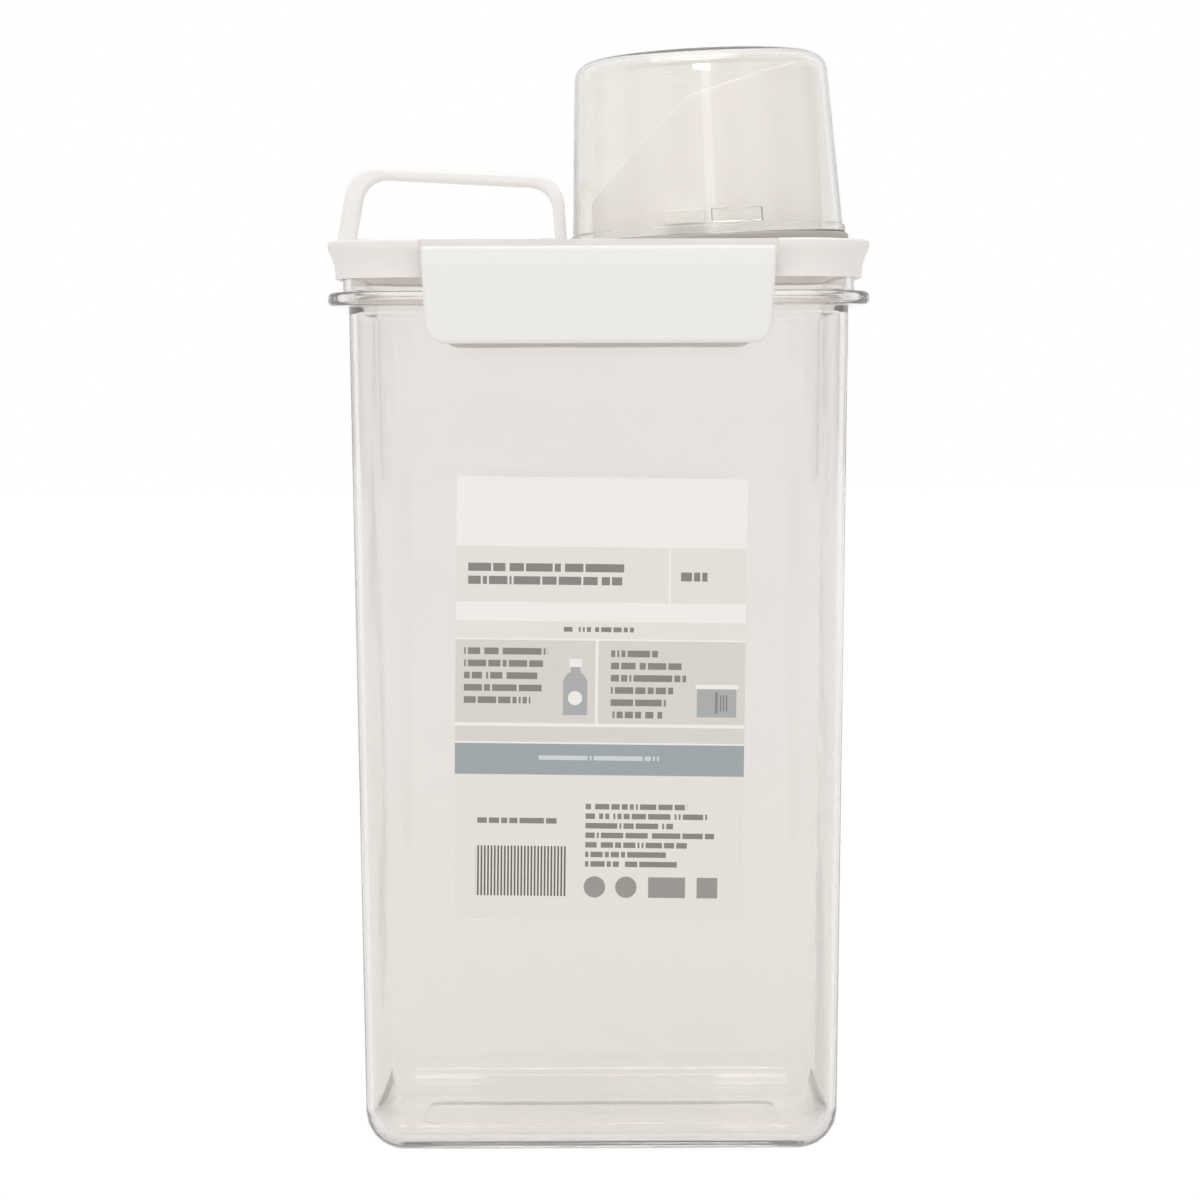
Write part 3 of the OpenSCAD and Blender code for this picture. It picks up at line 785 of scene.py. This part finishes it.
def handle_strap():
    """Bail bent from one strap, narrowing down to its feet."""
    end_top = END_X + END_LEG_LEAN
    cup_top = CUP_LEG_X - CUP_LEG_LEAN
    top_in = HANDLE_H - STRAP_T
    corners = [(END_X, 0, 0), (end_top, HANDLE_H, BEND_R),
               (cup_top, HANDLE_H - HANDLE_FALL, BEND_R), (CUP_LEG_X, 0, 0),
               (CUP_IN_X, 0, 0), (cup_top - CUP_LEG_T, top_in - HANDLE_FALL, CUP_BEND_IN_R),
               (end_top + END_LEG_T - END_LEG_TAPER, top_in, END_BEND_IN_R),
               (END_IN_X, 0, 0)]
    bm = slab([((x, -STRAP_W / 2, PIVOT_Z + z), radius) for x, z, radius in corners],
              (0, STRAP_W, 0))
    caps = [face for face in bm.faces if len(face.verts) > 4]
    bevel_edges(bm, [edge for face in caps for edge in face.edges], STRAP_EDGE_W, 4)
    ring_cut(bm, PIVOT_Z + TAPER_H)
    for vert in bm.verts:
        share = min(1, (vert.co.z - PIVOT_Z) / TAPER_H)
        width = FOOT_R + (STRAP_W / 2 - FOOT_R) * share
        vert.co.y *= width / (STRAP_W / 2)
    return bm


def handle(material):
    """Bail with its two round feet and the pivot pins between them."""
    feet = [rod(END_X, END_IN_X, 0, PIVOT_Z, FOOT_R),
            rod(CUP_IN_X, CUP_LEG_X, 0, PIVOT_Z, FOOT_R),
            rod(END_IN_X - MM, END_IN_X + PIN_L, 0, PIVOT_Z, PIN_R),
            rod(CUP_IN_X - PIN_L, CUP_IN_X + MM, 0, PIVOT_Z, PIN_R)]
    bm = joined(handle_strap(), *feet)
    return moulding(bm, "bail_handle", "handle", material)


def edge_height(x):
    """Height of the spout's slanted pouring edge at a place along X."""
    climb = (KNEE_H - SPOUT_LOW_H) / (KNEE_X + SPOUT_R)
    rise = (SPOUT_H - KNEE_H) / (CREST_X - KNEE_X)
    return min(SPOUT_LOW_H + climb * (x + SPOUT_R), KNEE_H + rise * (x - KNEE_X), SPOUT_H)


def spout_tube():
    """Round spout with a softened rim that follows the slanted pouring edge."""
    bore_r = SPOUT_R - SPOUT_T
    bm = wire([((SPOUT_R, 0, SPOUT_H), 0.4 * MM), ((SPOUT_R, 0, SPOUT_TAIL_Z), 0.5 * MM),
               ((bore_r, 0, SPOUT_TAIL_Z), 0.5 * MM), ((bore_r, 0, SPOUT_H), 0.4 * MM)],
              closed=True)
    spin_full(bm, 2 * ROUND_STEPS)
    for vert in bm.verts:
        if vert.co.z > SPOUT_H - MM:
            vert.co.z += edge_height(vert.co.x) - SPOUT_H
    return bm


def spout(material):
    """White spout with the ledge that it rests on and the stops for the cup."""
    ledge = wire([((SPOUT_R - MM, 0, 0), 0), ((LEDGE_R, 0, 0), 0.3 * MM),
                  ((LEDGE_R, 0, LEDGE_T), 0.3 * MM), ((SPOUT_R - MM, 0, LEDGE_T), 0)],
                 closed=True)
    spin_full(ledge)
    stops = [stop(turn) for turn in (0, TAU / 2)]
    bm = joined(spout_tube(), ledge, *stops)
    return moulding(bm, "pouring_spout", "spout", material, SEAT)


def stop(turn):
    """Block on the spout that a lug of the cup turns against."""
    low = LUG_MID_Z - LUG_H / 2
    high = LUG_MID_Z + LUG_H / 2
    r_in = SPOUT_R - SPOUT_T / 2
    bm = bmesh.new()
    verts = [bm.verts.new(point) for point in
             ((r_in, 0, low), (STOP_R, 0, low), (STOP_R, 0, high), (r_in, 0, high))]
    face = bm.faces.new(verts)
    spread = math.radians(STOP_SPREAD)
    bmesh.ops.spin(bm, geom=[face], cent=(0, 0, 0), axis=(0, 0, 1), dvec=(0, 0, 0),
                   angle=spread, steps=5, use_merge=False, use_normal_flip=False,
                   use_duplicate=False)
    corners = [edge for edge in bm.edges if edge.calc_face_angle(0) > 1]
    bevel_edges(bm, corners, STOP_EDGE_W, 2)
    start = math.radians(STOP_TURN - STOP_SPREAD / 2 - 90) + turn
    bmesh.ops.rotate(bm, verts=bm.verts, cent=(0, 0, 0), matrix=Matrix.Rotation(start, 3, "Z"))
    return bm


def cup_place(z, inner=False):
    """Radius of the cup's wall at a height."""
    share = (z - CUP_Z) / (CUP_END_Z - CUP_Z)
    return CUP_R - (CUP_R - CUP_END_R) * share - (CUP_WALL if inner else 0)


def cup(material):
    """Clear measuring cup upside down, with its lugs and measuring marks."""
    lug_low = LUG_MID_Z - LUG_H / 2
    lug_high = LUG_MID_Z + LUG_H / 2
    first_mark = CUP_END_Z - CUP_SHOULDER_R - MARK_TOP_GAP
    marks = [first_mark - index * MARK_PITCH for index in range(MARK_COUNT)]
    places = [(0, CUP_END_Z, 0), (CUP_END_R, CUP_END_Z, CUP_SHOULDER_R),
              (cup_place(CUP_Z + LIP_H), CUP_Z + LIP_H, 0.4 * MM),
              (LIP_R, CUP_Z + LIP_H, 0.6 * MM), (LIP_R, CUP_Z, 0.6 * MM),
              (CUP_R - CUP_WALL, CUP_Z, 0.6 * MM),
              (CUP_END_R - CUP_WALL, CUP_END_Z - CUP_WALL, CUP_SHOULDER_R - CUP_WALL),
              (0, CUP_END_Z - CUP_WALL, 0)]
    bm = wire([((r, 0, z), radius) for r, z, radius in places])
    spin_full(bm)
    for z in [lug_low, lug_high] + marks + [z + MARK_H for z in marks]:
        ring_cut(bm, z)
    lug_r = CUP_R - CUP_WALL - LUG_IN
    for turn in (0, 180):
        faces = wall_faces(bm, lug_low, lug_high, LUG_TURN - 90 + turn, LUG_SPREAD,
                           inner=True)
        moved = set(extrude_faces(bm, faces, (0, 0, 0)))
        for vert in moved:
            vert.co.xy *= lug_r / vert.co.xy.length
        front = {face for vert in moved for face in vert.link_faces
                 if moved.issuperset(face.verts)}
        outline = [edge for edge in {edge for face in front for edge in face.edges}
                   if not front.issuperset(edge.link_faces)]
        bevel_edges(bm, outline, LUG_SOFT, 3)
    for z in marks:
        faces = wall_faces(bm, z, z + MARK_H, 90, MARK_SPREAD, inner=False)
        for vert in extrude_faces(bm, faces, (0, 0, 0)):
            vert.co.xy *= 1 + MARK_OUT / vert.co.xy.length
    return moulding(bm, "dosing_cup", "measuring_cup", material, SEAT)


def wall_faces(bm, low, high, middle, spread, inner):
    """Faces of the cup's inner or outer wall between two heights and about an angle."""
    found = []
    for face in bm.faces:
        centre = face.calc_center_median()
        angle = math.degrees(math.atan2(centre.y, centre.x)) - middle
        off = abs((angle + 180) % 360 - 180)
        inside = centre.xy.length < cup_place(centre.z) - CUP_WALL / 2
        if low < centre.z < high and off < spread / 2 and inside == inner:
            found.append(face)
    return found


def cup_ring(material):
    """Flat silicone ring that the cup closes against."""
    bm = wire([((RING_IN_R, 0, 0), 0.3 * MM), ((RING_R, 0, 0), 0.5 * MM),
               ((RING_R, 0, RING_T), 0.7 * MM), ((RING_IN_R, 0, RING_T), 0.3 * MM)],
              closed=True)
    spin_full(bm)
    return moulding(bm, "cup_ring", "cup_seal", material, SEAT)


# Studio, lights and camera


def studio_world():
    """White surroundings, dimmer between eight directions, with a panel overhead."""
    world = bpy.data.worlds.new("studio")
    bpy.context.scene.world = world
    light = Finish(world)
    direction = light.node("ShaderNodeTexCoord", output="Generated")
    across = light.node("ShaderNodeSeparateXYZ", None, {0: direction}, "X")
    along = light.node("ShaderNodeSeparateXYZ", None, {0: direction}, "Y")
    up = light.node("ShaderNodeSeparateXYZ", None, {0: direction}, "Z")
    azimuth = along.math("ARCTAN2", along, across)
    ripple = 0.5 - 0.5 * (azimuth * 8).cosine()
    low = 1 - up.magnitude()
    overhead = up.near(0.88, 0.04) * (along < -0.35)
    seen = 1 - ripple * ripple * low * RIPPLE_DEPTH + overhead * PANEL_GLOW
    path = "ShaderNodeLightPath"
    camera = light.node(path, output="Is Camera Ray")
    glossy = light.node(path, output="Is Glossy Ray")
    passing = light.node(path, output="Is Transmission Ray")
    soft = light.node("ShaderNodeBackground", None,
                      {"Color": SOFT_WHITE, "Strength": 0.8 + up * 0.14})
    studio = light.node("ShaderNodeBackground", None, {"Color": WHITE, "Strength": seen})
    white = light.node("ShaderNodeBackground", None, {"Color": WHITE, "Strength": 1.0})
    bent = light.node("ShaderNodeMixShader", None, {0: glossy | passing, 1: soft, 2: studio})
    shown = light.node("ShaderNodeMixShader", None, {0: camera, 1: bent, 2: white})
    light.node("ShaderNodeOutputWorld", None, {"Surface": shown})


def floor():
    """Pale floor that looks as white as the surroundings, with painted shade close to the tub:
    to rays through the clear walls it glows less there and looks greyer.
    """
    finish = new_finish("pale_floor")
    behind = finish.node("ShaderNodeSeparateXYZ", None, {0: finish.position()}, "Y")
    # Painted shade: the nearer the floor lies to the tub, the less it glows to rays through the
    # clear walls
    near = (1 - behind / FLOOR_FADE) | 0
    path = "ShaderNodeLightPath"
    camera = finish.node(path, output="Is Camera Ray")
    glossy = finish.node(path, output="Is Glossy Ray")
    passing = finish.node(path, output="Is Transmission Ray")
    matt = finish.node("ShaderNodeBsdfDiffuse", None, {"Color": FLOOR_COLOUR})
    glow = finish.node("ShaderNodeEmission", None, {"Color": WHITE, "Strength": 1.04})
    seen = finish.node("ShaderNodeMixShader", None,
                       {0: 0.9 - passing * near * 0.44, 1: matt, 2: glow})
    mixed = finish.node("ShaderNodeMixShader", None,
                        {0: camera | glossy | passing, 1: matt, 2: seen})
    finish.node("ShaderNodeOutputMaterial", None, {"Surface": mixed})
    bm = bmesh.new()
    bmesh.ops.create_grid(bm, x_segments=1, y_segments=1, size=FLOOR_HALF,
                          matrix=Matrix.Translation((0, 0, -FLOOR_GAP)))
    mesh = bpy.data.meshes.new("floor")
    bm.to_mesh(mesh)
    bm.free()
    mesh.materials.append(finish.owner)
    plane = bpy.data.objects.new("floor", mesh)
    bpy.context.scene.collection.objects.link(plane)


def area_light(name, place, aim, width, height, power):
    """Rectangular light at a place, turned to face another."""
    light = bpy.data.lights.new(name, "AREA")
    light.shape = "RECTANGLE"
    light.size = width
    light.size_y = height
    light.energy = power
    lamp = bpy.data.objects.new(name, light)
    lamp.location = place
    lamp.rotation_euler = (Vector(aim) - Vector(place)).to_track_quat("-Z", "Y").to_euler()
    bpy.context.scene.collection.objects.link(lamp)


def camera():
    """Camera at the photograph's place and angle."""
    lens = bpy.data.cameras.new("camera")
    lens.lens = CAMERA_LENS
    lens.sensor_width = CAMERA_SENSOR
    view = bpy.data.objects.new("camera", lens)
    view.location = CAMERA_PLACE
    view.rotation_euler = (math.radians(90 - CAMERA_DOWN), math.radians(CAMERA_ROLL), 0)
    bpy.context.scene.collection.objects.link(view)
    bpy.context.scene.camera = view


def light_bounces():
    """Lets light pass the many clear walls one behind another."""
    cycles = bpy.context.scene.cycles
    cycles.max_bounces = 28
    cycles.diffuse_bounces = 8
    cycles.glossy_bounces = 16
    cycles.transmission_bounces = 28
    cycles.blur_glossy = 0.0


def main():
    bpy.context.scene.view_settings.view_transform = "Standard"
    light_bounces()
    camera()
    studio_world()
    floor()
    for light in LIGHTS:
        area_light(*light)

    clear_body = clear_plastic("clear_body", (0.905, 0.885, 0.866, 1), 0.0006)
    clear_cup = clear_plastic("clear_cup", (0.925, 0.912, 0.88, 1), 0.0003)
    # One white plastic in four tones, each set lighter or darker to match how bright its part
    # looks, so the differences are partly the parts' own tone and partly painted light; the
    # spout's lighter white makes up for light lost through the clear cup
    white_lid = white_plastic("white_lid", srgb(236, 232, 229), 0.42)
    white_clip = white_plastic("white_clip", srgb(234, 233, 232), 0.4)
    white_handle = white_plastic("white_handle", srgb(240, 238, 236), 0.4)
    white_spout = white_plastic("white_spout", srgb(243, 243, 243), 0.45, 0.2)
    # The seals' grey matches the ring under the cup where it lies in shade between cup and lid,
    # so it is partly the ring's own grey and partly painted shade
    grey_seal = silicone("grey_seal", srgb(180, 176, 168))

    tub(clear_body)
    sticker(sticker_film("sticker"))
    lid(white_lid)
    clip("front_snap_clip", "front_clip", TAU / 2, white_clip)
    clip("rear_snap_clip", "rear_clip", 0, white_clip)
    handle(white_handle)
    spout(white_spout)
    cup(clear_cup)
    cup_ring(grey_seal)
    dress_solid("lid_seal", grey_seal)


main()
